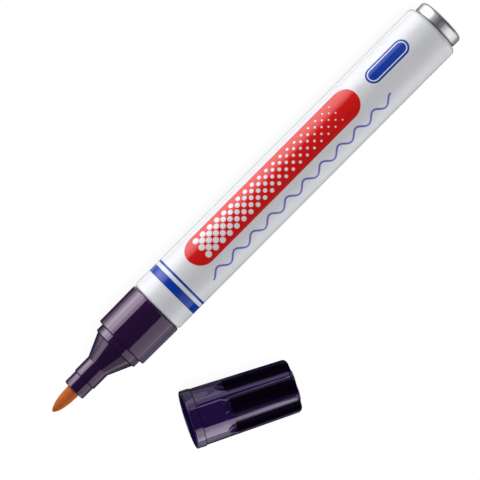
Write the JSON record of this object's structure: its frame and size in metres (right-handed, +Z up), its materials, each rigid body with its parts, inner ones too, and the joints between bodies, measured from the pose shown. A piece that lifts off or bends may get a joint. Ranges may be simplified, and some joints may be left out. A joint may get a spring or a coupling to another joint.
{
  "type": "bullet-tip marker",
  "caption": "Round felt marker for invisible ink: lacquered metal barrel, stepped violet nose with a bullet nib, and a fluted cap that lies beside it.",
  "frame": {"origin": "middle of the rear end face, on the pen's axis", "axes": "+X along the pen towards the nib, +Z up from the table that the pen and the cap lie on, +Y towards the cap"},
  "size_m": [0.1339, 0.051, 0.015],
  "materials": {
    "white_lacquer": "glossy white lacquer on an aluminium tube, with a printed panel",
    "bare_aluminium": "bright drawn aluminium",
    "violet_plastic": "glossy dark violet moulding",
    "nib_fibre": "ground bonded fibre",
    "core_fibre": "bundled polyester fibre",
    "clear_film": "thin milky film",
    "liner_plastic": "satin moulding"
  },
  "bodies": {
    "pen": {"barrel": "white_lacquer", "end_plug": "bare_aluminium", "nose_section": "violet_plastic", "ink_core": "core_fibre", "core_film": "clear_film"},
    "nib": {"nib": "nib_fibre"},
    "cap": {"cap_shell": "violet_plastic", "cap_liner": "liner_plastic"}
  },
  "joints": [
    {"name": "nib_pull", "type": "slide", "parent": "pen", "child": "nib", "axis": [1, 0, 0], "range_m": [0, 0.0349]},
    {"name": "cap_pull", "type": "slide", "parent": "pen", "child": "cap", "axis": [-0.8854, 0.4648, 0], "range_m": [0, 0.0235]}
  ]
}
